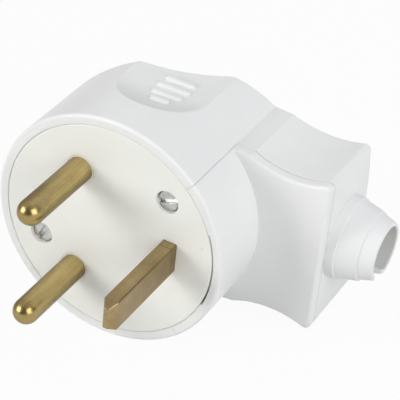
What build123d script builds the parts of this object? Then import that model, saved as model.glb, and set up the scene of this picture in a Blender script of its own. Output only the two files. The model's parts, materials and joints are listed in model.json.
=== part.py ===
from build123d import *
from math import acos, atan2, cos, hypot, radians, sin, sqrt, tan
import os

os.makedirs("parts", exist_ok=True)

# Angled three-pin power plug, lying on its side as it comes to rest on a table.
# Local directions: C is the way the cable leaves, S is the side that faces up,
# P is the way the pins point. Lengths are in millimetres.

# Round body
body_radius = 32.9
body_wall = 2.65
rim_rounding = 0.8
rear_depth = 48.0
rear_crown = 3.4
rear_rounding = 1.2
slope_depth = 36.6
slope_angle = 20.3

# Flared neck towards the cable
neck_reach = 50.6
neck_half_width = 23.3
neck_corner = 1.6
waist_reach = 39.5
waist_half_width = 20.7
crease_reach = 28.0
crease_half_width = 23.3
root_angle = 46.0
root_rounding = 1.0
neck_front_rise = 14.1
panel_thickness = 2.75
panel_rounding = 0.9
seam_gap = 0.05
groove_width = 0.25
groove_depth = 0.3
lip_thickness = 1.2
lip_depth = 2.0
lip_gap = 0.2
lip_start = 32.5
lip_length = 11.0

# Finger recesses on both sides of the body
scoop_centre = 0.65
scoop_sink = 3.8
scoop_radius = 55.0
scoop_turn_depth = 25.5
scoop_tip_depth = 11.3
scoop_rounding = 1.2
grip_width = 2.2
grip_height = 0.85
grip_rounding = 0.75
grip_pitch = 3.75
grip_first_depth = 19.8
grip_centre = 1.2
grip_lengths = (5.6, 9.0, 10.0, 9.0)

# Contact disc
disc_gap = 0.12
disc_thickness = 3.5
disc_rounding = 0.4
boss_height = 1.5
boss_corner = 1.0
boss_margin = 1.5
pin_boss_radius = 7.2
screw_boss_radius = 5.2

# Round pins
pin_radius = 3.5
pin_length = 26.1
pin_row = 9.06
pin_half_spread = 15.45
pin_clearance = 0.05
pin_shoulder_radius = 3.8
collar_radius = 5.2
collar_thickness = 2.0
tail_radius = 4.0
tail_length = 7.0

# Flat earth pin
earth_row = 17.95
earth_thickness = 4.0
earth_width = 8.6
earth_length = 30.4
earth_bevel = 1.3
earth_bevel_run = 2.4
earth_rounding = 0.45
earth_tip_rounding = 0.3
earth_collar_margin = 1.7
earth_tail_side = 8.4

# Plate that holds the pins against the disc
retainer_thickness = 4.0
retainer_margin = 3.2
retainer_clearance = 0.3
retainer_lone_reach = -9.0
retainer_pair_reach = 5.0
retainer_pair_side = 9.5
retainer_screw_radius = 1.45
retainer_screw_bite = 2.8
retainer_head_radius = 2.8
retainer_head_height = 1.9
retainer_slot_angles = (0.0, 40.0, 80.0)

# Wire terminals on the pin tails
terminal_thread_radius = 2.0
terminal_thread_length = 7.6
terminal_head_radius = 4.1
terminal_head_height = 2.6
cup_radius = 5.4
cup_thickness = 0.9
cup_rim = 0.8
spring_radius = 3.8
spring_thickness = 1.1
spring_slit = 1.2
spring_slit_angle = 20.0

# Two screws that close the housing
housing_screw_spots = ((16.1, 15.7), (-19.45, -9.2))
housing_slot_angles = (20.0, 62.0)
housing_head_radius = 2.85
housing_head_height = 2.0
housing_head_sink = 0.9
housing_recess_radius = 3.2
housing_thread_radius = 2.0
housing_thread_length = 19.0
post_radius = 4.3
insert_radius = 3.0
insert_length = 8.0
slot_width = 1.25
slot_depth = 1.1
head_bevel = 0.3
thread_bevel = 0.45
thread_clearance = 0.05

# Ribs inside the body that carry the disc
rib_count = 9
rib_width = 1.6
rib_reach = 2.0
rib_start_angle = 58.0
cover_rib_angle = 32.0
cover_relief = 0.4
cover_relief_angle = 21.0

# Cable sleeve and its seat in the end wall
sleeve_depth = 34.2
sleeve_bore_radius = 6.9
sleeve_seat_radius = 9.4
sleeve_flange_radius = 10.9
sleeve_flange_thickness = 2.0
sleeve_gap = 0.08
sleeve_tiers = ((2.6, 11.4, 11.2), (5.7, 10.8, 9.5), (3.9, 9.1, 7.9))
sleeve_slit_width = 6.0
sleeve_slit_rounding = 1.0
sleeve_slit_angle = 166.0
sleeve_rounding = 0.35
sleeve_step_rounding = 0.3

# Cord clamp in the neck
clamp_clearance = 1.37
clamp_screw_offset = 12.6
clamp_post_radius = 3.6
clamp_post_rise = 3.2
clamp_bar_thickness = 3.0
clamp_bar_width = 8.0
clamp_bar_half_length = 16.4
clamp_bore_radius = 6.6
clamp_screw_radius = 1.75
clamp_screw_bite = 9.0
clamp_hole_relief = 1.0
clamp_head_radius = 3.1
clamp_head_height = 2.2
clamp_slot_angle = 25.0
saddle_thickness = 4.0

# The plug rests on the body's side and on the neck's far edge
corner_distance = hypot(neck_reach - neck_corner, neck_half_width - neck_corner)
corner_bearing = atan2(neck_reach - neck_corner, neck_half_width - neck_corner)
rest_tilt = corner_bearing - acos((body_radius - neck_corner) / corner_distance)

# Contact face plane: x runs along C, y along S, z along P
face = Plane(origin=(0, 0, 0), x_dir=(cos(rest_tilt), 0, -sin(rest_tilt)), z_dir=(0, -1, 0))
along_c = face.x_dir
along_s = face.y_dir
along_p = face.z_dir
middle = Plane(origin=(0, 0, 0), x_dir=along_c, z_dir=along_s)
side_axis = Axis(face.origin, along_s)
reach_axis = Axis(face.origin, along_c)


def spot(reach, side, depth):
    """Point given by its reach along C, its side along S and its depth behind the face."""
    return face.from_local_coords(Vector(reach, side, -depth))


def across(reach):
    """Plane square to C, with x along S and y along P."""
    return Plane(origin=spot(reach, 0, 0), x_dir=along_s, z_dir=along_c)


def save(piece, label):
    """Name a finished piece and write it to its own file."""
    piece.part.label = label
    export_step(piece.part, f"parts/{label}.step")


# Values that follow from the sizes above
inner_radius = body_radius - body_wall
disc_radius = inner_radius - disc_gap
parting_depth = sleeve_depth - neck_front_rise + panel_thickness
boss_depth = disc_thickness + boss_height
collar_depth = boss_depth + collar_thickness
retainer_depth = boss_depth + retainer_thickness
tail_depth = collar_depth + tail_length
crown_radius = (neck_half_width**2 + rear_crown**2) / (2 * rear_crown)
slope_plane = Plane(
    origin=spot(0, 0, slope_depth),
    x_dir=along_s,
    z_dir=along_p * cos(radians(slope_angle)) + along_c * sin(radians(slope_angle)),
)
root_reach = body_radius * cos(radians(root_angle))
root_side = body_radius * sin(radians(root_angle))
wedge_corner = (2 * neck_reach, 2 * neck_reach * tan(radians(root_angle)))
scoop_floor = body_radius - scoop_sink
scoop_run = scoop_turn_depth - scoop_tip_depth
scoop_turn_radius = (scoop_run**2 + scoop_sink**2) / (2 * scoop_sink)
earth_collar_size = (
    earth_thickness + 2 * earth_collar_margin,
    earth_width + 2 * earth_collar_margin,
)
round_pin_spots = ((-pin_row, pin_half_spread), (-pin_row, -pin_half_spread))
flange_front = neck_reach - body_wall - sleeve_gap
flange_back = flange_front - sleeve_flange_thickness
clamp_reach = flange_back - clamp_clearance - clamp_bar_width / 2
clamp_spots = ((clamp_reach, clamp_screw_offset), (clamp_reach, -clamp_screw_offset))
clamp_post_depth = sleeve_depth - clamp_post_rise
retainer_screw_spots = (
    (retainer_lone_reach, 0),
    (retainer_pair_reach, retainer_pair_side),
    (retainer_pair_reach, -retainer_pair_side),
)


# Outlines shared by the shell and its cover
with BuildSketch() as neck_outline:
    with BuildLine():
        upper = Polyline(
            (0, root_side),
            (root_reach, root_side),
            (crease_reach, crease_half_width),
        )
        flare = ThreePointArc(
            upper @ 1, (waist_reach, waist_half_width), (neck_reach, neck_half_width)
        )
        Line(flare @ 1, (neck_reach, 0))
        Line((0, 0), upper @ 0)
        mirror(about=Plane.XZ)
    make_face()
    fillet(neck_outline.vertices().group_by(Axis.X)[-1], neck_corner)

with BuildSketch() as full_outline:
    Circle(body_radius)
    add(neck_outline.sketch)
    for root_corner in ((root_reach, root_side), (root_reach, -root_side)):
        fillet(full_outline.vertices().sort_by_distance(root_corner)[0], root_rounding)

with BuildSketch() as inner_outline:
    add(full_outline.sketch)
    offset(amount=-body_wall)

with BuildSketch() as lip_outline:
    add(full_outline.sketch)
    offset(amount=-(body_wall + lip_gap))
    with BuildSketch(mode=Mode.SUBTRACT):
        add(full_outline.sketch)
        offset(amount=-(body_wall + lip_gap + lip_thickness))
    with Locations((lip_start, 0)):
        Rectangle(lip_length, 2 * neck_half_width, align=(Align.MIN, Align.CENTER), mode=Mode.INTERSECT)

with BuildSketch() as groove_outline:
    add(full_outline.sketch)
    with BuildSketch(mode=Mode.SUBTRACT):
        add(full_outline.sketch)
        offset(amount=-groove_width)
    with Locations((crease_reach, 0)):
        Rectangle(neck_reach, 2 * neck_reach, align=(Align.MIN, Align.CENTER), mode=Mode.INTERSECT)


# Finger recess: a trough that runs out at the rear and rises to a round tip in front
def finger_trough(growth):
    floor = scoop_floor - growth
    turn_radius = scoop_turn_radius + growth
    trough_plane = Plane(origin=spot(scoop_centre, 0, 0), x_dir=along_p, z_dir=-along_c)
    axis_side = scoop_floor + scoop_radius
    with BuildPart() as trough:
        with BuildSketch(trough_plane):
            with BuildLine():
                start = Line((-2 * rear_depth, floor), (-scoop_turn_depth, floor))
                tip = RadiusArc(
                    start @ 1,
                    (turn_radius - scoop_turn_depth, floor + turn_radius),
                    -turn_radius,
                )
                Polyline(
                    tip @ 1,
                    (turn_radius - scoop_turn_depth, axis_side),
                    (-2 * rear_depth, axis_side),
                    start @ 0,
                )
            make_face()
        revolve(axis=Axis(spot(scoop_centre, axis_side, 0), along_p))
    return trough.part


trough = finger_trough(0)
trough_backing = finger_trough(body_wall)


def floor_side(depth):
    """How far out the trough's floor lies at a depth behind the face."""
    ahead = max(scoop_turn_depth - depth, 0)
    return scoop_floor + scoop_turn_radius - sqrt(scoop_turn_radius**2 - ahead**2)


def grip_bar(length, depth):
    """Raised bar with a rounded top across the floor of the finger recess."""
    foot_side = floor_side(depth) - body_wall / 2
    foot = Plane(origin=spot(grip_centre, foot_side, depth), x_dir=along_c, z_dir=along_s)
    with BuildPart() as bar:
        with BuildSketch(foot):
            SlotOverall(length, grip_width)
        extrude(amount=body_wall / 2 + grip_height)
        fillet(bar.faces().sort_by(side_axis)[-1].edges(), grip_rounding)
    return bar.part


grip_bars = [
    grip_bar(length, grip_first_depth + index * grip_pitch)
    for index, length in enumerate(grip_lengths)
]

# Hollow of the rear shell, with the material of its posts, ribs and saddle left out
with BuildPart() as hollow:
    with BuildSketch(face):
        Circle(inner_radius)
    extrude(amount=-rear_depth)
    with BuildSketch(face.offset(-parting_depth)):
        add(inner_outline.sketch)
    extrude(amount=-(rear_depth - parting_depth))
    split(bisect_by=slope_plane.offset(body_wall), keep=Keep.TOP)
    with BuildSketch(across(-2 * body_radius)):
        with Locations((0, crown_radius - rear_depth)):
            Circle(crown_radius - body_wall)
    extrude(amount=2 * body_radius + 2 * neck_reach, mode=Mode.INTERSECT)
    add(trough_backing, mode=Mode.SUBTRACT)
    add(trough_backing.mirror(middle), mode=Mode.SUBTRACT)
    with BuildSketch(face.offset(-boss_depth)):
        with Locations(*housing_screw_spots):
            Circle(post_radius)
    extrude(amount=-rear_depth, mode=Mode.SUBTRACT)
    with BuildSketch(face.offset(-disc_thickness)):
        rib_range = 360 - 2 * rib_start_angle
        with PolarLocations(inner_radius, rib_count, rib_start_angle, rib_range, endpoint=True):
            Rectangle(2 * rib_reach, rib_width)
    extrude(amount=-rear_depth, mode=Mode.SUBTRACT)
    with BuildSketch(face.offset(-clamp_post_depth)):
        with Locations(*clamp_spots):
            Circle(clamp_post_radius)
    extrude(amount=-rear_depth, mode=Mode.SUBTRACT)
    with BuildSketch(across(clamp_reach - saddle_thickness / 2)):
        with Locations((0, -sleeve_depth)):
            Rectangle(2 * clamp_screw_offset, 2 * rear_depth, align=(Align.CENTER, Align.MAX))
            Circle(clamp_bore_radius, mode=Mode.SUBTRACT)
    extrude(amount=saddle_thickness, mode=Mode.SUBTRACT)

# Sides of the body and neck, with both finger recesses, before the rear is shaped
with BuildPart() as recessed_block:
    with BuildSketch(face):
        add(full_outline.sketch)
    extrude(amount=-2 * rear_depth)
    for cut in (trough, trough.mirror(middle)):
        add(cut, mode=Mode.SUBTRACT)
        front_rim = recessed_block.edges(Select.LAST).filter_by(GeomType.BSPLINE).sort_by(Axis.Y)[0]
        fillet(front_rim, scoop_rounding)

# Rear shell: round body and neck tray in one moulding
with BuildPart() as rear_shell:
    with BuildSketch(face):
        Circle(body_radius)
    extrude(amount=-rear_depth)
    fillet(rear_shell.edges().group_by(Axis.Y)[0], rim_rounding)
    with BuildSketch(face.offset(-parting_depth)):
        add(full_outline.sketch)
    extrude(amount=-(rear_depth - parting_depth))
    split(bisect_by=slope_plane, keep=Keep.TOP)
    with BuildSketch(across(-2 * body_radius)):
        with Locations((0, crown_radius - rear_depth)):
            Circle(crown_radius)
    extrude(amount=2 * body_radius + 2 * neck_reach, mode=Mode.INTERSECT)
    slope_face, crown_face = rear_shell.faces().sort_by(Axis.Y)[-2:]
    ridge = slope_face.edges().sort_by_distance(crown_face)[0]
    rear_edges = [edge for edge in slope_face.edges() + crown_face.edges() if edge != ridge]
    fillet(rear_edges, rear_rounding)
    add(recessed_block.part, mode=Mode.INTERSECT)
    add(grip_bars)
    add([bar.mirror(middle) for bar in grip_bars])
    add(hollow.part, mode=Mode.SUBTRACT)
    # Window that the neck cover's piece of round wall fills
    with BuildSketch(face):
        with BuildLine():
            Polyline((0, 0), wedge_corner, (wedge_corner[0], -wedge_corner[1]), close=True)
        make_face()
        Circle(inner_radius - rib_reach, mode=Mode.SUBTRACT)
    extrude(amount=-parting_depth, mode=Mode.SUBTRACT)
    # Fine groove under the edge of the front panel
    with BuildSketch(face.offset(-parting_depth)):
        add(groove_outline.sketch)
    extrude(amount=-groove_depth, mode=Mode.SUBTRACT)
    # Seat of the cable sleeve in the end wall
    with BuildSketch(across(neck_reach)):
        with Locations((0, -sleeve_depth)):
            Circle(sleeve_seat_radius)
    extrude(amount=-2 * body_wall, mode=Mode.SUBTRACT)
    # Pockets for the threaded inserts, with room for the screw tips behind them
    with BuildSketch(face.offset(-boss_depth)):
        with Locations(*housing_screw_spots):
            Circle(insert_radius)
    extrude(amount=-insert_length, mode=Mode.SUBTRACT)
    with BuildSketch(face.offset(-boss_depth)):
        with Locations(*housing_screw_spots):
            Circle(housing_thread_radius + retainer_clearance)
    extrude(amount=-housing_thread_length, mode=Mode.SUBTRACT)
    with BuildSketch(face.offset(-clamp_post_depth)):
        with Locations(*clamp_spots):
            Circle(clamp_screw_radius + thread_clearance)
    extrude(amount=-(clamp_screw_bite + clamp_hole_relief), mode=Mode.SUBTRACT)

save(rear_shell, "rear_shell")

# Piece of the round wall that belongs to the neck cover
with BuildPart() as cover_wall:
    with BuildSketch(face):
        Circle(body_radius)
    extrude(amount=-parting_depth)
    fillet(cover_wall.edges().group_by(Axis.Y)[0], rim_rounding)

# Neck cover: front panel of the neck with its piece of the round wall
with BuildPart() as neck_cover:
    with BuildSketch(face.offset(-parting_depth)):
        add(neck_outline.sketch)
    extrude(amount=panel_thickness)
    fillet(neck_cover.edges().group_by(Axis.Y)[0], panel_rounding)
    add(cover_wall.part)
    with BuildSketch(face):
        Circle(inner_radius)
    extrude(amount=-rear_depth, mode=Mode.SUBTRACT)
    # Relief beside the disc, which shows as a dark gap
    with BuildSketch(face):
        with BuildLine():
            relief_arc = CenterArc(
                (0, 0), inner_radius + cover_relief, -cover_relief_angle, 2 * cover_relief_angle
            )
            Polyline(relief_arc @ 1, (0, 0), relief_arc @ 0)
        make_face()
    extrude(amount=-disc_thickness, mode=Mode.SUBTRACT)
    # Short ribs that carry the disc's edge
    with BuildSketch(face.offset(-disc_thickness)):
        with PolarLocations(inner_radius, 2, -cover_rib_angle, 2 * cover_rib_angle, endpoint=True):
            Rectangle(2 * rib_reach, rib_width)
    extrude(amount=disc_thickness - parting_depth)
    # Lips that locate the panel between the side walls of the neck
    with BuildSketch(face.offset(-parting_depth)):
        add(lip_outline.sketch)
    extrude(amount=-lip_depth)
    # Only the sector between the two seams is kept
    with BuildSketch(face.offset(-parting_depth - lip_depth)):
        with BuildLine():
            Polyline(
                (seam_gap, 0),
                (seam_gap + wedge_corner[0], wedge_corner[1]),
                (seam_gap + wedge_corner[0], -wedge_corner[1]),
                close=True,
            )
        make_face()
    extrude(amount=parting_depth + lip_depth, mode=Mode.INTERSECT)

save(neck_cover, "neck_cover")

# Contact disc: the face that goes against the socket, with bosses behind it
with BuildPart() as contact_disc:
    with BuildSketch(face):
        Circle(disc_radius)
    extrude(amount=-disc_thickness)
    fillet(contact_disc.edges().group_by(Axis.Y)[0], disc_rounding)
    with BuildSketch(face.offset(-disc_thickness)):
        with Locations(*round_pin_spots):
            Circle(pin_boss_radius)
        with Locations((earth_row, 0)):
            RectangleRounded(
                earth_collar_size[0] + 2 * boss_margin,
                earth_collar_size[1] + 2 * boss_margin,
                boss_corner,
            )
        with Locations(*housing_screw_spots):
            Circle(screw_boss_radius)
        with Locations(*retainer_screw_spots):
            Circle(2 * retainer_screw_radius)
    extrude(amount=-boss_height)
    # Pin holes
    with BuildSketch(face):
        with Locations(*round_pin_spots):
            Circle(pin_shoulder_radius + pin_clearance)
        with Locations((earth_row, 0)):
            RectangleRounded(
                earth_thickness + 2 * pin_clearance,
                earth_width + 2 * pin_clearance,
                earth_rounding + pin_clearance,
            )
    extrude(amount=-boss_depth, mode=Mode.SUBTRACT)
    # Housing screw holes with their recesses
    with BuildSketch(face):
        with Locations(*housing_screw_spots):
            Circle(housing_thread_radius + retainer_clearance)
    extrude(amount=-boss_depth, mode=Mode.SUBTRACT)
    with BuildSketch(face):
        with Locations(*housing_screw_spots):
            Circle(housing_recess_radius)
    extrude(amount=-(housing_head_sink + housing_head_height), mode=Mode.SUBTRACT)
    # Blind holes for the retainer screws
    with BuildSketch(face.offset(-boss_depth)):
        with Locations(*retainer_screw_spots):
            Circle(retainer_screw_radius + thread_clearance)
    extrude(amount=retainer_screw_bite + thread_clearance, mode=Mode.SUBTRACT)

save(contact_disc, "contact_disc")

# Pin retainer: insulating plate that traps the pin collars behind the disc
with BuildPart() as pin_retainer:
    with BuildSketch(face.offset(-boss_depth)):
        with Locations(*round_pin_spots):
            Circle(collar_radius + retainer_margin)
        with Locations((earth_row, 0)):
            RectangleRounded(
                earth_collar_size[0] + 2 * retainer_margin,
                earth_collar_size[1] + 2 * retainer_margin,
                retainer_margin,
            )
        make_hull()
        with Locations(*housing_screw_spots):
            Circle(post_radius + retainer_clearance, mode=Mode.SUBTRACT)
    extrude(amount=-retainer_thickness)
    # Pockets for the collars
    with BuildSketch(face.offset(-boss_depth)):
        with Locations(*round_pin_spots):
            Circle(collar_radius + pin_clearance)
        with Locations((earth_row, 0)):
            Rectangle(earth_collar_size[0] + 2 * pin_clearance, earth_collar_size[1] + 2 * pin_clearance)
    extrude(amount=-collar_thickness, mode=Mode.SUBTRACT)
    # Holes for the pin tails and the retainer screws
    with BuildSketch(face.offset(-boss_depth)):
        with Locations(*round_pin_spots):
            Circle(tail_radius + pin_clearance)
        with Locations((earth_row, 0)):
            Rectangle(earth_tail_side + 2 * pin_clearance, earth_tail_side + 2 * pin_clearance)
        with Locations(*retainer_screw_spots):
            Circle(retainer_screw_radius + retainer_clearance)
    extrude(amount=-retainer_thickness, mode=Mode.SUBTRACT)

save(pin_retainer, "pin_retainer")


def round_pin(row, side):
    """Turned pin: domed tip, shoulder flush with the face, collar, tail tapped for a screw."""
    with BuildPart() as pin:
        with BuildSketch(Plane(origin=spot(row, side, 0), x_dir=along_p, z_dir=-along_c)):
            with BuildLine():
                shaft = Polyline(
                    (-tail_depth, 0),
                    (-tail_depth, tail_radius),
                    (-collar_depth, tail_radius),
                    (-collar_depth, collar_radius),
                    (-boss_depth, collar_radius),
                    (-boss_depth, pin_shoulder_radius),
                    (0, pin_shoulder_radius),
                    (0, pin_radius),
                    (pin_length - pin_radius, pin_radius),
                )
                dome = RadiusArc(shaft @ 1, (pin_length, 0), pin_radius)
                Line(dome @ 1, shaft @ 0)
            make_face()
        revolve(axis=Axis(spot(row, side, 0), along_p))
        with BuildSketch(face.offset(-tail_depth)):
            with Locations((row, side)):
                Circle(terminal_thread_radius + thread_clearance)
        extrude(amount=tail_length - thread_clearance, mode=Mode.SUBTRACT)
    return pin


line_pin = round_pin(*round_pin_spots[0])
save(line_pin, "line_pin")
neutral_pin = round_pin(*round_pin_spots[1])
save(neutral_pin, "neutral_pin")

# Flat earth pin with a bevelled tip, a collar and a square tail
with BuildPart() as earth_pin:
    with BuildSketch(face.offset(-boss_depth)):
        with Locations((earth_row, 0)):
            Rectangle(earth_thickness, earth_width)
    extrude(amount=boss_depth + earth_length)
    tip_face = earth_pin.faces().sort_by(Axis.Y)[0]
    chamfer(tip_face.edges(), earth_bevel, earth_bevel_run, reference=tip_face)
    long_edges = [edge for edge in earth_pin.edges() if abs((edge % 0).dot(along_p)) > 0.1]
    fillet(long_edges, earth_rounding)
    fillet(earth_pin.faces().sort_by(Axis.Y)[0].edges(), earth_tip_rounding)
    with BuildSketch(face.offset(-boss_depth)):
        with Locations((earth_row, 0)):
            Rectangle(*earth_collar_size)
    extrude(amount=-collar_thickness)
    with BuildSketch(face.offset(-collar_depth)):
        with Locations((earth_row, 0)):
            Rectangle(earth_tail_side, earth_tail_side)
    extrude(amount=-tail_length)
    with BuildSketch(face.offset(-tail_depth)):
        with Locations((earth_row, 0)):
            Circle(terminal_thread_radius + thread_clearance)
    extrude(amount=tail_length - thread_clearance, mode=Mode.SUBTRACT)

save(earth_pin, "earth_pin")


def slotted_screw(centre, seat_depth, facing, head, thread, slot_angle):
    """Screw with a flat slotted head; facing is 1 where the head looks along P, else -1."""
    head_radius, head_height = head
    thread_radius, thread_length = thread
    seat = Plane(origin=spot(*centre, seat_depth), x_dir=along_c, z_dir=along_p * facing)
    with BuildPart() as screw:
        with BuildSketch(seat):
            Circle(head_radius)
        extrude(amount=head_height)
        way_out = Axis(seat.origin, seat.z_dir)
        chamfer(screw.faces().sort_by(way_out)[-1].edges(), head_bevel)
        with BuildSketch(seat.offset(head_height)):
            Rectangle(2 * head_radius, slot_width, rotation=slot_angle)
        extrude(amount=-slot_depth, mode=Mode.SUBTRACT)
        with BuildSketch(seat):
            Circle(thread_radius)
        extrude(amount=-thread_length)
        chamfer(screw.faces().sort_by(way_out)[0].edges(), thread_bevel)
    return screw


def cup_washer(centre):
    """Washer whose raised rim keeps the wire strands under the screw head."""
    with BuildPart() as washer:
        with BuildSketch(face.offset(-tail_depth)):
            with Locations(centre):
                Circle(cup_radius)
                Circle(terminal_thread_radius + retainer_clearance, mode=Mode.SUBTRACT)
        extrude(amount=-cup_thickness)
        with BuildSketch(face.offset(-tail_depth - cup_thickness)):
            with Locations(centre):
                Circle(cup_radius)
                Circle(cup_radius - cup_rim, mode=Mode.SUBTRACT)
        extrude(amount=-cup_rim)
    return washer


def spring_washer(centre):
    """Split ring between the cup washer and the screw head."""
    with BuildPart() as washer:
        with BuildSketch(face.offset(-tail_depth - cup_thickness)):
            with Locations(centre):
                Circle(spring_radius)
                Circle(terminal_thread_radius + retainer_clearance, mode=Mode.SUBTRACT)
                with Locations((spring_radius, 0)):
                    Rectangle(
                        2 * spring_radius, spring_slit, rotation=spring_slit_angle, mode=Mode.SUBTRACT
                    )
        extrude(amount=-spring_thickness)
    return washer


# Wire terminal on each pin: cup washer, spring washer and screw
terminal_spots = {
    "line": round_pin_spots[0],
    "neutral": round_pin_spots[1],
    "earth": (earth_row, 0),
}
terminal_slot_angles = {"line": 35, "neutral": 110, "earth": 80}
for wire, centre in terminal_spots.items():
    save(cup_washer(centre), f"{wire}_cup_washer")
    save(spring_washer(centre), f"{wire}_spring_washer")
    terminal_screw = slotted_screw(
        centre,
        tail_depth + cup_thickness + spring_thickness,
        -1,
        (terminal_head_radius, terminal_head_height),
        (terminal_thread_radius, terminal_thread_length),
        terminal_slot_angles[wire],
    )
    save(terminal_screw, f"{wire}_terminal_screw")

# Screws that close the housing, each in its threaded insert
for side, centre, slot_angle in zip(("upper", "lower"), housing_screw_spots, housing_slot_angles):
    housing_screw = slotted_screw(
        centre,
        housing_head_sink + housing_head_height,
        1,
        (housing_head_radius, housing_head_height),
        (housing_thread_radius, housing_thread_length),
        slot_angle,
    )
    save(housing_screw, f"{side}_housing_screw")
    with BuildPart() as insert:
        with BuildSketch(face.offset(-boss_depth)):
            with Locations(centre):
                Circle(insert_radius)
                Circle(housing_thread_radius + thread_clearance, mode=Mode.SUBTRACT)
        extrude(amount=-insert_length)
    save(insert, f"{side}_threaded_insert")

# Three screws that hold the retainer to the disc
retainer_screw_parts = [
    slotted_screw(
        centre,
        retainer_depth,
        -1,
        (retainer_head_radius, retainer_head_height),
        (retainer_screw_radius, retainer_thickness + retainer_screw_bite),
        retainer_slot_angles[index],
    ).part
    for index, centre in enumerate(retainer_screw_spots)
]
with BuildPart() as retainer_screws:
    add(retainer_screw_parts)

save(retainer_screws, "retainer_screws")

# Cord clamp bar, arched over the cable between its two screws
with BuildPart() as cord_clamp_bar:
    with BuildSketch(across(clamp_reach - clamp_bar_width / 2)):
        with Locations((0, -sleeve_depth)):
            Circle(clamp_bore_radius + clamp_bar_thickness)
        with Locations((0, -clamp_post_depth)):
            Rectangle(
                2 * clamp_bar_half_length,
                2 * rear_depth,
                align=(Align.CENTER, Align.MAX),
                mode=Mode.SUBTRACT,
            )
            Rectangle(
                2 * clamp_bar_half_length, clamp_bar_thickness, align=(Align.CENTER, Align.MIN)
            )
        with Locations((0, -sleeve_depth)):
            Circle(clamp_bore_radius, mode=Mode.SUBTRACT)
    extrude(amount=clamp_bar_width)
    with BuildSketch(face.offset(-clamp_post_depth)):
        with Locations(*clamp_spots):
            Circle(clamp_screw_radius + retainer_clearance)
    extrude(amount=clamp_bar_thickness, mode=Mode.SUBTRACT)

save(cord_clamp_bar, "cord_clamp_bar")

for side, centre in zip(("upper", "lower"), clamp_spots):
    clamp_screw = slotted_screw(
        centre,
        clamp_post_depth - clamp_bar_thickness,
        1,
        (clamp_head_radius, clamp_head_height),
        (clamp_screw_radius, clamp_bar_thickness + clamp_screw_bite),
        clamp_slot_angle,
    )
    save(clamp_screw, f"{side}_clamp_screw")

# Cable sleeve: stepped and tapered, split along one side, its flange behind the end wall
sleeve_end = neck_reach + sum(tier[0] for tier in sleeve_tiers)
sleeve_axis = Axis(spot(0, 0, sleeve_depth), along_c)
with BuildPart() as cable_sleeve:
    with BuildSketch(face.offset(-sleeve_depth)):
        with BuildLine():
            outer = [
                (flange_back, sleeve_bore_radius),
                (flange_back, sleeve_flange_radius),
                (flange_front, sleeve_flange_radius),
                (flange_front, sleeve_seat_radius - sleeve_gap),
                (neck_reach, sleeve_seat_radius - sleeve_gap),
            ]
            tier_start = neck_reach
            sleeve_steps = []
            for tier_length, root_radius, end_radius in sleeve_tiers:
                outer.append((tier_start, root_radius))
                tier_start += tier_length
                outer.append((tier_start, end_radius))
                sleeve_steps.append(spot(tier_start, end_radius, sleeve_depth))
            outer.append((sleeve_end, sleeve_bore_radius))
            Polyline(*outer, close=True)
        make_face()
    revolve(axis=sleeve_axis)
    fillet(cable_sleeve.edges().group_by(reach_axis)[-1], sleeve_rounding)
    for step in sleeve_steps[:-1]:
        circles = cable_sleeve.edges().filter_by(GeomType.CIRCLE)
        fillet(circles.sort_by_distance(step)[0], sleeve_step_rounding)
    # Slit towards the front, its corners rounded at the mouth
    slit_way = along_s.rotate(reach_axis, sleeve_slit_angle)
    slit_side = sleeve_slit_width / 2 + sleeve_slit_rounding
    slit_end = sleeve_end - sleeve_slit_rounding
    with BuildSketch(Plane(origin=spot(0, 0, sleeve_depth), x_dir=along_c, z_dir=slit_way)):
        Rectangle(sleeve_end, sleeve_slit_width, align=(Align.MIN, Align.CENTER))
        with Locations((slit_end, 0)):
            Rectangle(2 * sleeve_slit_rounding, 2 * slit_side, align=(Align.MIN, Align.CENTER))
        with Locations((slit_end, slit_side), (slit_end, -slit_side)):
            Circle(sleeve_slit_rounding, mode=Mode.SUBTRACT)
    extrude(amount=2 * sleeve_flange_radius, mode=Mode.SUBTRACT)

save(cable_sleeve, "cable_sleeve")
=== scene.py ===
import json
from math import asin, cos, radians, sin, tau

import bmesh
import bpy
from mathutils import Matrix, Quaternion, Vector


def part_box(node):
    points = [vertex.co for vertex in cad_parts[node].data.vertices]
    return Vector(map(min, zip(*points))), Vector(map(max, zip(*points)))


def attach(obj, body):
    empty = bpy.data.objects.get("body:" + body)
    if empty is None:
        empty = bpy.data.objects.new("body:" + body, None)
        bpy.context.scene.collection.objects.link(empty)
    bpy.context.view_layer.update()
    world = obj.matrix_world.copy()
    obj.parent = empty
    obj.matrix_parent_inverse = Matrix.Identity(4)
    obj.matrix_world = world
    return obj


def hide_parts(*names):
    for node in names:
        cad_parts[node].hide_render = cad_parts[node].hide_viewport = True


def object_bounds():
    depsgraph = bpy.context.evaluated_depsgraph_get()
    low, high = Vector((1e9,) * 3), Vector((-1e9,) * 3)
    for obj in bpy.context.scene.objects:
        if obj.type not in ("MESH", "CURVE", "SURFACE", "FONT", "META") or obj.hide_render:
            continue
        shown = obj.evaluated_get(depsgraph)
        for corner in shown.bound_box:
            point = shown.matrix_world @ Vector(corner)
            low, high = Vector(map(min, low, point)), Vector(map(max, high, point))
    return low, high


# Angled three-pin power plug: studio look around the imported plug

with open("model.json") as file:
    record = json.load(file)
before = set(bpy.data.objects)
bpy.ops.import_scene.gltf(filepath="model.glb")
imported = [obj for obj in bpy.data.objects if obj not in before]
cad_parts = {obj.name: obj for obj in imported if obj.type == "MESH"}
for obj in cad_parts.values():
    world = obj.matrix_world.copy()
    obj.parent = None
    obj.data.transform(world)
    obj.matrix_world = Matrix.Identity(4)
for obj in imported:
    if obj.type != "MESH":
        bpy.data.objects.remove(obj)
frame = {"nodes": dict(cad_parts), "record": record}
nodes = frame["nodes"]
cadBox = [list(corner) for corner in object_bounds()]
mounts = {mount["name"]: mount for mount in frame["record"]["mounts"]}
mm = 0.001

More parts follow.
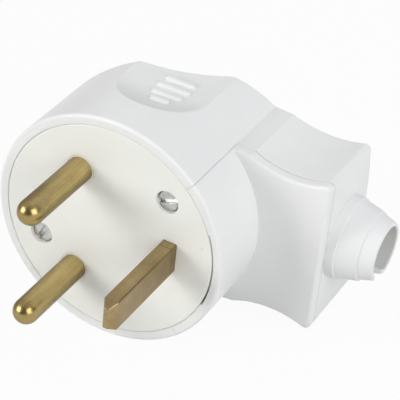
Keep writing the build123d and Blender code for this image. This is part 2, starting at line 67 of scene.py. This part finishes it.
# The plug's own directions: the cable's way out, the side that faces up, the pins' way out
cableWay = Vector(mounts["cable_entry"]["axis"]).normalized()
pinWay = Vector(mounts["contact_face"]["axis"]).normalized()
sideWay = pinWay.cross(cableWay)
plugFrame = Matrix((cableWay, sideWay, pinWay)).transposed().to_4x4()
toPlug = plugFrame.inverted()


# A mount's place in millimetres along the plug's own directions
def mountPlace(name):
    return toPlug @ Vector(mounts[name]["pos_m"]) / mm


cableBore = {"depth": -mountPlace("cable_entry").z, "radius": mounts["cable_entry"]["dims"]["r_mm"]}
earthMiddle = mountPlace("earth_pin").x
print("frame loaded:", len(nodes), "nodes")


# Material helpers: a place is the Object coordinates turned to the plug's own directions
def startMaterial(name):
    material = bpy.data.materials.new(name)
    material.use_nodes = True
    tree = material.node_tree
    turned = tree.nodes.new("ShaderNodeMapping")
    turned.vector_type = "TEXTURE"
    turned.inputs["Rotation"].default_value = plugFrame.to_euler()
    place = tree.nodes.new("ShaderNodeTexCoord").outputs["Object"]
    tree.links.new(place, turned.inputs["Vector"])
    return material, tree, tree.nodes["Principled BSDF"], turned.outputs["Vector"]


# The place scaled and then moved
def mapped(tree, place, scale, move=(0, 0, 0)):
    mapping = tree.nodes.new("ShaderNodeMapping")
    mapping.inputs["Location"].default_value = move
    mapping.inputs["Scale"].default_value = scale
    tree.links.new(place, mapping.inputs["Vector"])
    return mapping.outputs["Vector"]


def noise(tree, place, scale, detail=3.0, roughness=0.5):
    node = tree.nodes.new("ShaderNodeTexNoise")
    node.inputs["Scale"].default_value = scale
    node.inputs["Detail"].default_value = detail
    node.inputs["Roughness"].default_value = roughness
    tree.links.new(place, node.inputs["Vector"])
    return node.outputs["Fac"]


# A value from start to end becomes a number or a colour from low to high
def ramp(tree, value, low, high, start, end):
    if isinstance(low, (int, float)):
        node = tree.nodes.new("ShaderNodeMapRange")
        node.inputs["From Min"].default_value = start
        node.inputs["From Max"].default_value = end
        node.inputs["To Min"].default_value = low
        node.inputs["To Max"].default_value = high
        tree.links.new(value, node.inputs["Value"])
        return node.outputs["Result"]
    node = tree.nodes.new("ShaderNodeValToRGB")
    node.color_ramp.elements[0].position = start
    node.color_ramp.elements[0].color = (*low, 1)
    node.color_ramp.elements[1].position = end
    node.color_ramp.elements[1].color = (*high, 1)
    tree.links.new(value, node.inputs["Fac"])
    return node.outputs["Color"]


def calculated(tree, kind, first, second=None):
    node = tree.nodes.new("ShaderNodeMath")
    node.operation = kind
    for socket, value in zip(node.inputs, (first, second)):
        if isinstance(value, (int, float)):
            socket.default_value = value
        elif value is not None:
            tree.links.new(value, socket)
    return node.outputs["Value"]


# The number that Vector Math gives, such as a length or a dot product
def measured(tree, kind, first, second=None):
    node = tree.nodes.new("ShaderNodeVectorMath")
    node.operation = kind
    tree.links.new(first, node.inputs[0])
    if isinstance(second, Vector):
        node.inputs[1].default_value = second
    elif second is not None:
        tree.links.new(second, node.inputs[1])
    return node.outputs["Value"]


# Lays a colour over another where the mask is 1; the Mix node's colour sockets are 6, 7 and 2
def painted(tree, under, over, mask):
    node = tree.nodes.new("ShaderNodeMix")
    node.data_type = "RGBA"
    tree.links.new(mask, node.inputs["Factor"])
    tree.links.new(under, node.inputs[6])
    node.inputs[7].default_value = (*over, 1)
    return node.outputs[2]


# Lays a coat over a colour, more of it the further the value is through the coat's range
def coated(tree, under, value, coat):
    return painted(tree, under, coat["colour"], ramp(tree, value, 0.0, coat["amount"], *coat["range"]))


def mixShaders(tree, share, first, second):
    mix = tree.nodes.new("ShaderNodeMixShader")
    tree.links.new(share, mix.inputs["Fac"])
    tree.links.new(first, mix.inputs[1])
    tree.links.new(second, mix.inputs[2])
    tree.links.new(mix.outputs["Shader"], tree.nodes["Material Output"].inputs["Surface"])


def coordinate(tree, place, way):
    node = tree.nodes.new("ShaderNodeSeparateXYZ")
    tree.links.new(place, node.inputs["Vector"])
    return node.outputs[way]


# How far a length lies from one given in millimetres
def distance(tree, length, given):
    return calculated(tree, "ABSOLUTE", calculated(tree, "SUBTRACT", length, given * mm))


# The strength on a thin ring or dot seen along the pins, 0 elsewhere; sizes in millimetres
def ringMask(tree, place, spot, radius, width, strength=1.0):
    across = mapped(tree, place, (1, 1, 0), (-spot[0] * mm, -spot[1] * mm, 0))
    off = distance(tree, measured(tree, "LENGTH", across), radius)
    return ramp(tree, off, strength, 0.0, 0.0, width * mm)


# The line's strength on a thin line square to the pins, this far out from the face
def lineMask(tree, place, line):
    off = distance(tree, coordinate(tree, place, "Z"), line["out"])
    return ramp(tree, off, line["strength"], 0.0, line["width"] * mm / 2, line["width"] * mm)


def lined(tree, place, colour, lines):
    for line in lines:
        colour = painted(tree, colour, line["colour"], lineMask(tree, place, line))
    return colour


# The bar's strength of painted shade along the four long edges of a bar that points along the pins
def cornerShadeMask(tree, place, bar):
    mask = bar["strength"]
    for way, middle, size in (("X", bar["middle"], bar["thick"]), ("Y", 0.0, bar["wide"])):
        off = distance(tree, coordinate(tree, place, way), middle)
        nearEdge = ramp(tree, off, 0.0, 1.0, (size / 2 - bar["fade"]) * mm, size / 2 * mm)
        mask = calculated(tree, "MULTIPLY", nearEdge, mask)
    return mask


# The painted shade's strength inside a bore along the cable's way, at its depth behind the face
def boreShadeMask(tree, place, boreShade):
    across = mapped(tree, place, (0, 1, 1), (0, 0, boreShade["depth"] * mm))
    start, end = [(boreShade["radius"] + margin) * mm for margin in boreShade["margins"]]
    return ramp(tree, measured(tree, "LENGTH", across), boreShade["strength"], 0.0, start, end)


# The surface's direction, averaged within the radius
def roundedNormal(tree, radius, samples):
    edge = tree.nodes.new("ShaderNodeBevel")
    edge.samples = samples
    edge.inputs["Radius"].default_value = radius
    return edge.outputs["Normal"]


# 0 on flats, and more the more sharply the surface turns within the radius
def edgeMask(tree, radius):
    flat = tree.nodes.new("ShaderNodeNewGeometry").outputs["Normal"]
    same = measured(tree, "DOT_PRODUCT", roundedNormal(tree, radius, samples=6), flat)
    return calculated(tree, "SUBTRACT", 1.0, same)


# Softens the shading of edges and stacks bumps: each layer is a height, its strength and its depth
def bumpy(tree, shader, edgeRadius, layers):
    normal = roundedNormal(tree, edgeRadius, samples=4)
    for height, strength, depth in layers:
        bump = tree.nodes.new("ShaderNodeBump")
        bump.inputs["Strength"].default_value = strength
        bump.inputs["Distance"].default_value = depth
        tree.links.new(height, bump.inputs["Height"])
        tree.links.new(normal, bump.inputs["Normal"])
        normal = bump.outputs["Normal"]
    tree.links.new(normal, shader.inputs["Normal"])


# Moulded plastic: flow mottling, uneven gloss, tool texture, ejector rings, specks and painted shade inside
# a bore
def mouldedPlastic(name, look):
    material, tree, shader, place = startMaterial(name)
    flow = noise(tree, place, look["flowScale"], detail=4)
    grain = noise(tree, place, look["grainScale"], detail=2)
    wave = noise(tree, place, look["waveScale"], detail=1)
    streaky = mapped(tree, place, look["smearStretch"])
    smear = noise(tree, streaky, look["smearScale"], detail=4, roughness=0.6)
    colour = ramp(tree, flow, look["dark"], look["light"], *look["flowRange"])
    roughness = ramp(tree, flow, *look["roughness"], *look["roughnessRange"])
    smearRoughness = ramp(tree, smear, 0.0, look["smearAmount"], *look["smearRange"])
    layers = [
        (wave, look["waveStrength"], look["waveDepth"]),
        (grain, look["grainStrength"], look["grainDepth"]),
    ]
    for ring in look["rings"]:
        mask = ringMask(tree, place, ring["spot"], ring["radius"], ring["width"])
        layers.append((mask, ring["strength"], ring["depth"]))
    for speck in look["specks"]:
        mask = ringMask(tree, place, speck["spot"], 0.0, speck["radius"], speck["strength"])
        colour = painted(tree, colour, speck["colour"], mask)
    # painted shade inside the cable's bore
    if look["boreShade"]:
        colour = painted(tree, colour, look["boreShade"]["colour"], boreShadeMask(tree, place, look["boreShade"]))
    tree.links.new(colour, shader.inputs["Base Color"])
    tree.links.new(calculated(tree, "ADD", roughness, smearRoughness), shader.inputs["Roughness"])
    bumpy(tree, shader, look["edgeRadius"], layers)
    shader.inputs["IOR"].default_value = look["ior"]
    shader.inputs["Subsurface Weight"].default_value = look["glow"]
    shader.inputs["Subsurface Radius"].default_value = look["glowRadius"]
    shader.inputs["Subsurface Scale"].default_value = look["glowScale"]
    return material


# Shows metal that lies flush with the face as the plastic around it, as the photograph does
def coveredShoulder(tree, shader, place, shoulder):
    plastic = shoulder["plastic"]
    cover = tree.nodes.new("ShaderNodeBsdfPrincipled")
    cover.inputs["Base Color"].default_value = (*plastic["light"], 1)
    cover.inputs["Roughness"].default_value = plastic["roughness"][1]
    cover.inputs["IOR"].default_value = plastic["ior"]
    start, end = [margin * mm for margin in shoulder["margins"]]
    onFace = ramp(tree, distance(tree, coordinate(tree, place, "Z"), 0.0), 1.0, 0.0, start, end)
    mixShaders(tree, onFace, shader.outputs["BSDF"], cover.outputs["BSDF"])


# Metal: tool marks, stains, specks, and a painted dark reflection where the surface turns away from the
# camera
def workedMetal(name, look):
    material, tree, shader, place = startMaterial(name)
    stain = noise(tree, place, look["stainScale"], detail=5, roughness=0.6)
    marks = noise(tree, mapped(tree, place, look["markStretch"]), look["markScale"], roughness=0.6)
    drawn = mapped(tree, place, look["streakStretch"])
    streaks = noise(tree, drawn, look["streakScale"], detail=4, roughness=0.65)
    pits = noise(tree, place, look["pitScale"], detail=2)
    paintedDarkReflection = tree.nodes.new("ShaderNodeLayerWeight")
    paintedDarkReflection.inputs["Blend"].default_value = look["paintedDarkReflectionBlend"]
    colour = ramp(tree, stain, look["dark"], look["light"], *look["stainRange"])
    colour = coated(tree, colour, streaks, look["streaks"])
    colour = coated(tree, colour, pits, look["specks"])
    colour = lined(tree, place, colour, look["linesUnder"])
    # painted dark reflection: darker where the surface turns away from the camera
    colour = coated(tree, colour, paintedDarkReflection.outputs["Facing"], look["paintedDarkReflection"])
    # on edges: on brass parts and round pins partly rubbed wear and partly a painted highlight, on the earth
    # pin painted shade, on the screws a painted highlight
    colour = coated(tree, colour, edgeMask(tree, look["wearAndEdgeShadingRadius"]), look["wearAndEdgeShading"])
    # painted shade along the long edges of the earth pin
    if look["bar"]:
        colour = painted(tree, colour, look["bar"]["colour"], cornerShadeMask(tree, place, look["bar"]))
    # lines over all coats, such as a painted highlight in a screw's slot
    colour = lined(tree, place, colour, look["linesOver"])
    roughness = ramp(tree, marks, *look["roughness"], *look["roughnessRange"])
    tip = look["tip"]
    if tip:
        out = coordinate(tree, place, "Z")
        domeStart, fade = tip["start"] * mm, tip["fade"] * mm
        polish = ramp(tree, out, 0.0, tip["polish"], domeStart, domeStart + fade)
        roughness = calculated(tree, "SUBTRACT", roughness, polish)
        # the darker tip is a painted dark reflection
        mask = ramp(tree, out, 0.0, tip["amount"], domeStart - fade, domeStart + fade)
        colour = painted(tree, colour, tip["colour"], mask)
    tree.links.new(colour, shader.inputs["Base Color"])
    tree.links.new(roughness, shader.inputs["Roughness"])
    bumpy(tree, shader, look["edgeRadius"], [
        (marks, look["markStrength"], look["markDepth"]),
        (streaks, look["streakStrength"], look["markDepth"]),
        (pits, look["pitStrength"], look["pitDepth"]),
    ])
    shader.inputs["Metallic"].default_value = 1.0
    if look["shoulder"]:
        coveredShoulder(tree, shader, place, look["shoulder"])
    return material


housingLook = {
    "dark": (0.815, 0.822, 0.818), "light": (0.850, 0.856, 0.850),
    "flowScale": 55.0, "flowRange": (0.3, 0.7),
    "roughness": (0.34, 0.44), "roughnessRange": (0.25, 0.75), "ior": 1.46, "edgeRadius": 0.00025,
    "smearStretch": (1, 3, 1), "smearScale": 40.0, "smearRange": (0.5, 0.7), "smearAmount": 0.08,
    "waveScale": 120.0, "waveStrength": 0.30, "waveDepth": 0.00012,
    "grainScale": 2600.0, "grainStrength": 0.22, "grainDepth": 0.00002,
    "glow": 0.08, "glowRadius": (1.0, 1.0, 0.95), "glowScale": 0.0012,
    "rings": [], "specks": [], "boreShade": None,
}
discLook = {
    **housingLook,
    "dark": (0.832, 0.842, 0.800), "light": (0.866, 0.872, 0.832),
    "roughness": (0.38, 0.48), "edgeRadius": 0.0003,
    "rings": [  # ejector marks of the mould
        {"spot": (18.0, -11.6), "radius": 1.7, "width": 0.35, "strength": 0.5, "depth": 0.00008},
        {"spot": (-4.0, 0.0), "radius": 2.4, "width": 0.35, "strength": 0.3, "depth": 0.00006},
    ],
    "specks": [
        {"spot": (-22.7, 4.1), "radius": 0.35, "strength": 0.35, "colour": (0.42, 0.41, 0.38)},
        {"spot": (27.0, 6.2), "radius": 0.40, "strength": 0.45, "colour": (0.45, 0.45, 0.42)},
        {"spot": (6.5, -21.0), "radius": 0.22, "strength": 0.25, "colour": (0.5, 0.48, 0.44)},
    ],
}
sleeveLook = {
    **housingLook,
    "dark": (0.815, 0.822, 0.820), "light": (0.845, 0.852, 0.850),
    "roughness": (0.42, 0.52), "glow": 0.05, "waveStrength": 0.45, "edgeRadius": 0.0003,
    # painted shade inside the cable's bore
    "boreShade": {**cableBore, "margins": (0.05, 0.4), "strength": 1.0, "colour": (0.68, 0.68, 0.655)},
}
innerLook = {
    **housingLook,
    "dark": (0.66, 0.66, 0.62), "light": (0.72, 0.72, 0.68),
    "roughness": (0.55, 0.65), "glow": 0.05,
}
# lighter than the disc: a painted highlight along the seam around the disc
seamHighlightLook = {
    **discLook,
    "dark": (0.86, 0.865, 0.83), "light": (0.90, 0.905, 0.87),
    "edgeRadius": 0.0001, "rings": [], "specks": [],
}
plainBrassLook = {
    "dark": (0.480, 0.366, 0.160), "light": (0.600, 0.470, 0.215),
    "stainScale": 160.0, "stainRange": (0.32, 0.68),
    "roughness": (0.26, 0.38), "roughnessRange": (0.25, 0.75), "edgeRadius": 0.0001,
    "markStretch": (1, 1, 40), "markScale": 110.0, "markStrength": 0.25, "markDepth": 0.00002,
    "streakStretch": (20, 20, 1), "streakScale": 60.0, "streakStrength": 0.10,
    "streaks": {"colour": (0.35, 0.225, 0.085), "amount": 0.65, "range": (0.5, 0.75)},
    "pitScale": 1500.0, "pitStrength": 0.15, "pitDepth": 0.00002,
    "specks": {"colour": (0.20, 0.14, 0.06), "amount": 0.5, "range": (0.66, 0.74)},
    # painted dark reflection where the surface turns away from the camera
    "paintedDarkReflectionBlend": 0.5, "paintedDarkReflection": {"colour": (0.17, 0.105, 0.030), "amount": 0.90, "range": (0.36, 0.76)},
    # on edges: partly rubbed wear, partly a painted highlight
    "wearAndEdgeShadingRadius": 0.00025, "wearAndEdgeShading": {"colour": (0.66, 0.52, 0.27), "amount": 0.5, "range": (0.02, 0.25)},
    "linesUnder": [], "linesOver": [], "bar": None, "tip": None, "shoulder": None,
}
turnedBrassLook = {
    **plainBrassLook,  # the domed tip is smoother than the rest of the pin, and darker as a painted dark reflection
    "tip": {"start": 22.6, "fade": 1.0, "polish": 0.03, "amount": 0.6, "colour": (0.30, 0.21, 0.075)},
    "shoulder": {"plastic": discLook, "margins": (0.02, 0.03)},
}
milledBrassLook = {
    **plainBrassLook,
    "dark": (0.335, 0.250, 0.122), "light": (0.470, 0.360, 0.188),
    "roughness": (0.32, 0.46), "edgeRadius": 0.0002, "markStretch": (30, 30, 1), "markStrength": 0.35,
    "streakStretch": (26, 26, 1), "streaks": {**plainBrassLook["streaks"], "amount": 0.8},
    "paintedDarkReflection": {**plainBrassLook["paintedDarkReflection"], "amount": 0.45},
    # painted shade on the edges
    "wearAndEdgeShadingRadius": 0.0004, "wearAndEdgeShading": {**plainBrassLook["wearAndEdgeShading"], "colour": (0.15, 0.10, 0.045), "amount": 0.85},
    "linesUnder": [{"out": 2.4, "width": 0.25, "strength": 0.6, "colour": (0.20, 0.14, 0.06)}],
    # painted shade along the four long edges
    "bar": {
        "middle": earthMiddle, "thick": 4.0, "wide": 8.6, "fade": 0.55,
        "strength": 0.9, "colour": (0.13, 0.085, 0.035),
    },
}
nickelLook = {
    "dark": (0.40, 0.40, 0.39), "light": (0.62, 0.62, 0.60),
    "stainScale": 420.0, "stainRange": (0.32, 0.68),
    "roughness": (0.20, 0.34), "roughnessRange": (0.25, 0.75), "edgeRadius": 0.00012,
    "markStretch": (1, 1, 25), "markScale": 200.0, "markStrength": 0.35, "markDepth": 0.00003,
    "streakStretch": (1, 12, 1), "streakScale": 120.0, "streakStrength": 0.15,
    "streaks": {"colour": (0.35, 0.35, 0.34), "amount": 0.3, "range": (0.5, 0.75)},
    "pitScale": 2400.0, "pitStrength": 0.3, "pitDepth": 0.00003,
    "specks": {"colour": (0.16, 0.15, 0.14), "amount": 0.5, "range": (0.66, 0.74)},
    # painted dark reflection where the surface turns away from the camera
    "paintedDarkReflectionBlend": 0.5, "paintedDarkReflection": {"colour": (0.12, 0.12, 0.12), "amount": 0.6, "range": (0.45, 1.0)},
    # a painted highlight on the edges
    "wearAndEdgeShadingRadius": 0.00018, "wearAndEdgeShading": {"colour": (0.90, 0.90, 0.88), "amount": 0.7, "range": (0.02, 0.25)},
    "linesUnder": [],
    "linesOver": [{"out": -2.0, "width": 1.2, "strength": 0.6, "colour": (0.66, 0.66, 0.64)}],  # a painted highlight in the slot
    "bar": None, "tip": None, "shoulder": None,
}

housingPlastic = mouldedPlastic("whiteHousing", housingLook)
discPlastic = mouldedPlastic("warmWhiteDisc", discLook)
sleevePlastic = mouldedPlastic("whiteSleeve", sleeveLook)
innerPlastic = mouldedPlastic("innerInsulation", innerLook)
seamHighlightPlastic = mouldedPlastic("seamPaintedHighlight", seamHighlightLook)
pinBrass = workedMetal("turnedPinBrass", turnedBrassLook)
plainBrass = workedMetal("plainBrass", plainBrassLook)
milledBrass = workedMetal("milledBrass", milledBrassLook)
nickel = workedMetal("nickelledSteel", nickelLook)

finishes = {
    housingPlastic: ["rear_shell", "neck_cover"],
    discPlastic: ["contact_disc"],
    sleevePlastic: ["cable_sleeve"],
    innerPlastic: ["pin_retainer", "cord_clamp_bar"],
    pinBrass: ["line_pin", "neutral_pin"],
    plainBrass: [
        "upper_threaded_insert", "lower_threaded_insert",
        "line_cup_washer", "neutral_cup_washer", "earth_cup_washer",
    ],
    milledBrass: ["earth_pin"],
    nickel: [
        "upper_housing_screw", "lower_housing_screw", "retainer_screws",
        "upper_clamp_screw", "lower_clamp_screw",
        "line_terminal_screw", "neutral_terminal_screw", "earth_terminal_screw",
        "line_spring_washer", "neutral_spring_washer", "earth_spring_washer",
    ],
}
for material, names in finishes.items():
    for name in names:
        nodes[name].data.materials.clear()
        nodes[name].data.materials.append(material)
print("finishes given to", sum(len(names) for names in finishes.values()), "nodes")

weldDistance = 0.0005  # millimetres


# Pieces are drawn in millimetres in the plug's own directions and placed by one matrix
def finishPiece(bm, name, placed, material, smoothAngle):
    bmesh.ops.remove_doubles(bm, verts=bm.verts, dist=weldDistance)
    bmesh.ops.recalc_face_normals(bm, faces=bm.faces)
    bmesh.ops.transform(bm, matrix=placed @ Matrix.Scale(mm, 4), verts=bm.verts)
    mesh = bpy.data.meshes.new(name)
    bm.to_mesh(mesh)
    bm.free()
    mesh.shade_smooth()
    mesh.set_sharp_from_angle(angle=radians(smoothAngle))
    mesh.materials.append(material)
    piece = bpy.data.objects.new(name, mesh)
    bpy.context.collection.objects.link(piece)
    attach(piece, "root")
    return piece


# A pale ring in the narrow gap around the disc, lighter than the disc as a painted highlight along the seam,
# open where the gap is wide
seamSizes = {
    "radius": 30.19, "width": 0.11, "top": -0.10, "bottom": -0.40,
    "openAngle": 23.0, "steps": 180, "smoothAngle": 40,
}


def makeSeam(sizes):
    bm = bmesh.new()
    half, low, high = sizes["width"] / 2, sizes["bottom"], sizes["top"]
    outline = [
        (-half, low), (half, low), (half, high - half),
        (half / 2, high), (-half / 2, high), (-half, high - half),
    ]
    start = radians(sizes["openAngle"])
    turn = Matrix.Rotation(start, 4, "Z")
    verts = [bm.verts.new(turn @ Vector((sizes["radius"] + across, 0, out))) for across, out in outline]
    first = bm.faces.new(verts)
    bmesh.ops.spin(
        bm, geom=[first], cent=(0, 0, 0), axis=(0, 0, 1), angle=tau - 2 * start,
        steps=sizes["steps"], use_merge=False, use_duplicate=False,
    )
    seam = finishPiece(bm, "disc_seam", plugFrame, seamHighlightPlastic, sizes["smoothAngle"])


makeSeam(seamSizes)
print("seam made")

# Housing screws with rounded slot edges and a rolled thread, drawn downwards from the head's top
screwSizes = {
    "headRadius": 2.85, "headHeight": 2.0, "slotWidth": 1.25, "slotDepth": 1.1,
    "edgeRound": 0.24, "roundSteps": 3, "arcSteps": 36, "overlap": 0.05,
    "coreRadius": 1.62, "neckRadius": 1.95, "neckLength": 1.6, "taperAbove": 0.2, "taperBelow": 0.1,
    "tipLength": 0.6, "tipShares": (0.62, 0.45), "tipRound": 0.12,
    "crestRadius": 1.97, "pitch": 0.7, "turnSteps": 32,
    "rootSunk": 0.08, "rootShare": 0.42, "crestShare": 0.08,  # the shares are half widths in pitches
    "smoothAngle": 32,
    "slotTurns": {"upper_housing_screw": 20.0, "lower_housing_screw": 62.0},
}


def prism(bm, outline, low, high):
    base = bm.faces.new([bm.verts.new((across, up, low)) for across, up in outline])
    raised = bmesh.ops.extrude_face_region(bm, geom=[base])["geom"]
    tops = [item for item in raised if isinstance(item, bmesh.types.BMVert)]
    bmesh.ops.translate(bm, vec=(0, 0, high - low), verts=tops)
    return tops


def arc(radius, start, end, steps):
    angles = [start + (end - start) * step / steps for step in range(steps + 1)]
    return [(radius * cos(angle), radius * sin(angle)) for angle in angles]


# A plain disc with a rounded piece on each side of the slot
def makeHead(bm, sizes, slotTurn):
    radius, slotDepth = sizes["headRadius"], sizes["slotDepth"]
    edge = asin(sizes["slotWidth"] / 2 / radius)
    for turned in (0.0, tau / 2):
        outline = arc(radius, edge + turned, tau / 2 - edge + turned, sizes["arcSteps"])
        tops = set(prism(bm, outline, -slotDepth - sizes["overlap"], 0.0))
        rims = [item for item in bm.edges if all(vert in tops for vert in item.verts)]
        bmesh.ops.bevel(
            bm, geom=rims, offset=sizes["edgeRound"], offset_type="OFFSET", affect="EDGES",
            segments=sizes["roundSteps"], profile=0.5, material=-1, clamp_overlap=True,
        )
    disc = arc(radius, 0.0, tau, 2 * sizes["arcSteps"])[:-1]
    prism(bm, disc, -sizes["headHeight"], -slotDepth)
    turn = Matrix.Rotation(radians(slotTurn), 3, "Z")
    bmesh.ops.rotate(bm, cent=(0, 0, 0), matrix=turn, verts=bm.verts)


# The neck, the core and the pointed end, spun in one piece
def makeShank(bm, sizes, length, neckEnd):
    core, neck = sizes["coreRadius"], sizes["neckRadius"]
    start = neckEnd + sizes["neckLength"]
    wide, narrow = [core * share for share in sizes["tipShares"]]
    side = [
        (0, start), (neck, start),
        (neck, neckEnd + sizes["taperAbove"]), (core, neckEnd - sizes["taperBelow"]),
        (core, -length + sizes["tipLength"]), (wide, -length + sizes["tipRound"]),
        (narrow, -length), (0, -length),
    ]
    verts = [bm.verts.new((across, 0, out)) for across, out in side]
    edges = [bm.edges.new(pair) for pair in zip(verts, verts[1:])]
    bmesh.ops.spin(
        bm, geom=verts + edges, cent=(0, 0, 0), axis=(0, 0, 1), angle=tau,
        steps=2 * sizes["arcSteps"], use_merge=True, use_duplicate=False,
    )


# A ridge wound down the core in whole turns
def makeThread(bm, sizes, length, neckEnd):
    pitch, crest = sizes["pitch"], sizes["crestRadius"]
    root = sizes["coreRadius"] - sizes["rootSunk"]
    rootHalf, crestHalf = sizes["rootShare"], sizes["crestShare"]
    threadTop = neckEnd - pitch / 2
    turns = int((length + threadTop - sizes["tipLength"]) / pitch)
    ridge = [(root, rootHalf), (crest, crestHalf), (crest, -crestHalf), (root, -rootHalf)]
    first = bm.faces.new([bm.verts.new((across, 0, threadTop + out * pitch)) for across, out in ridge])
    bmesh.ops.spin(
        bm, geom=[first], cent=(0, 0, 0), axis=(0, 0, 1), dvec=(0, 0, -pitch / sizes["turnSteps"]),
        angle=tau * turns, steps=turns * sizes["turnSteps"], use_merge=False, use_duplicate=False,
    )


def makeScrew(name, sizes):
    corners = [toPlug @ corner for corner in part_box(name)]
    middle = (corners[0] + corners[1]) / 2
    top = max(corner.z for corner in corners) / mm
    length = top - min(corner.z for corner in corners) / mm
    neckEnd = -sizes["headHeight"] + sizes["overlap"] - sizes["neckLength"]
    bm = bmesh.new()
    makeHead(bm, sizes, sizes["slotTurns"][name])
    makeShank(bm, sizes, length, neckEnd)
    makeThread(bm, sizes, length, neckEnd)
    placed = plugFrame @ Matrix.Translation((middle.x, middle.y, top * mm))
    screw = finishPiece(bm, name + "_cut", placed, nickel, sizes["smoothAngle"])
    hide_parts(name)


for name in screwSizes["slotTurns"]:
    makeScrew(name, screwSizes)
print("screws made")

# Camera at the photograph's viewing angle
cameraView = {
    "spot": (0.23605, -0.33340, 0.23820),
    "target": (0.01899, 0.01542, 0.00437),
    "roll": -5.97,
    "lens": 167.0,
    "sensor": 36.0,
    "clipStart": 0.01,
    "clipEnd": 20.0,
}


def makeCamera(look):
    camera = bpy.data.objects.new("camera", bpy.data.cameras.new("camera"))
    bpy.context.scene.collection.objects.link(camera)
    ahead = Vector(look["target"]) - Vector(look["spot"])
    turn = Quaternion(ahead.normalized(), radians(-look["roll"]))
    camera.location = look["spot"]
    camera.rotation_mode = "QUATERNION"
    camera.rotation_quaternion = turn @ ahead.to_track_quat("-Z", "Y")
    camera.data.lens = look["lens"]
    camera.data.sensor_width = look["sensor"]
    camera.data.clip_start = look["clipStart"]
    camera.data.clip_end = look["clipEnd"]
    bpy.context.scene.camera = camera


makeCamera(cameraView)
print("camera set")

# Pale floor, soft boxes and a room with a dark side
stageLook = {
    "floorSize": 6.0, "floorColour": (0.68, 0.68, 0.68), "floorGlow": 0.945, "floorWhite": 1.0,
    "roomLow": (0.30, 0.30, 0.305), "roomHigh": (0.62, 0.62, 0.63),
    "roomRange": (0.0, 0.9), "roomStrength": 1.0, "darkWay": (0.35, -0.80, 0.30),
    "darkSide": {"colour": (0.10, 0.10, 0.10), "amount": 0.9, "range": (0.45, 0.95)},
    "boxes": [
        {"name": "keyBox", "spot": (-0.79, -0.88, 0.62),
         "size": 0.70, "power": 9.5, "tint": (1.0, 0.99, 0.965)},
        {"name": "fillBox", "spot": (0.95, -0.45, 0.42),
         "size": 0.80, "power": 7.4, "tint": (0.98, 0.99, 1.0)},
        {"name": "backBox", "spot": (0.25, 1.10, 0.50),
         "size": 0.60, "power": 0.9, "tint": (1.0, 1.0, 1.0)},
        {"name": "topBox", "spot": (0.10, 0.35, 1.10),
         "size": 0.80, "power": 0.5, "tint": (1.0, 1.0, 1.0)},
    ],
    "aim": (0.015, 0.01, 0.0),
}


# 1 for camera, glossy and transmission rays, else 0
def seenRay(tree):
    path = tree.nodes.new("ShaderNodeLightPath")
    total = path.outputs["Is Camera Ray"]
    for kind in ("Is Glossy Ray", "Is Transmission Ray"):
        total = calculated(tree, "MAXIMUM", total, path.outputs[kind])
    return total


def makeFloor(look, height):
    bm = bmesh.new()
    bmesh.ops.create_grid(bm, x_segments=1, y_segments=1, size=look["floorSize"] / 2)
    bmesh.ops.translate(bm, vec=(0, 0, height), verts=bm.verts)
    mesh = bpy.data.meshes.new("floor")
    bm.to_mesh(mesh)
    bm.free()
    floor = bpy.data.objects.new("floor", mesh)
    bpy.context.scene.collection.objects.link(floor)
    material = bpy.data.materials.new("paleFloor")
    material.use_nodes = True
    tree = material.node_tree
    tree.nodes.remove(tree.nodes["Principled BSDF"])
    matte = tree.nodes.new("ShaderNodeBsdfDiffuse")
    matte.inputs["Color"].default_value = (*look["floorColour"], 1)
    glow = tree.nodes.new("ShaderNodeEmission")
    glow.inputs["Strength"].default_value = look["floorWhite"]
    share = calculated(tree, "MULTIPLY", seenRay(tree), look["floorGlow"])
    mixShaders(tree, share, matte.outputs["BSDF"], glow.outputs["Emission"])
    mesh.materials.append(material)


# Room that is brighter overhead than at eye level, and darker beyond the camera
def makeRoom(look):
    world = bpy.data.worlds.new("room")
    bpy.context.scene.world = world
    world.use_nodes = True
    tree = world.node_tree
    background = tree.nodes["Background"]
    background.inputs["Strength"].default_value = look["roomStrength"]
    way = tree.nodes.new("ShaderNodeTexCoord").outputs["Generated"]
    light = ramp(tree, coordinate(tree, way, "Z"), look["roomLow"], look["roomHigh"], *look["roomRange"])
    toward = measured(tree, "DOT_PRODUCT", way, Vector(look["darkWay"]).normalized())
    tree.links.new(coated(tree, light, toward, look["darkSide"]), background.inputs["Color"])


def makeBoxes(look):
    for box in look["boxes"]:
        lamp = bpy.data.lights.new(box["name"], "AREA")
        lamp.size = box["size"]
        lamp.energy = box["power"]
        lamp.color = box["tint"]
        holder = bpy.data.objects.new(box["name"], lamp)
        bpy.context.scene.collection.objects.link(holder)
        holder.location = box["spot"]
        ahead = Vector(look["aim"]) - Vector(box["spot"])
        holder.rotation_mode = "QUATERNION"
        holder.rotation_quaternion = ahead.to_track_quat("-Z", "Y")


makeFloor(stageLook, cadBox[0][2])
makeRoom(stageLook)
makeBoxes(stageLook)
bpy.context.scene.view_settings.view_transform = "Standard"
print("floor, room and soft boxes set")
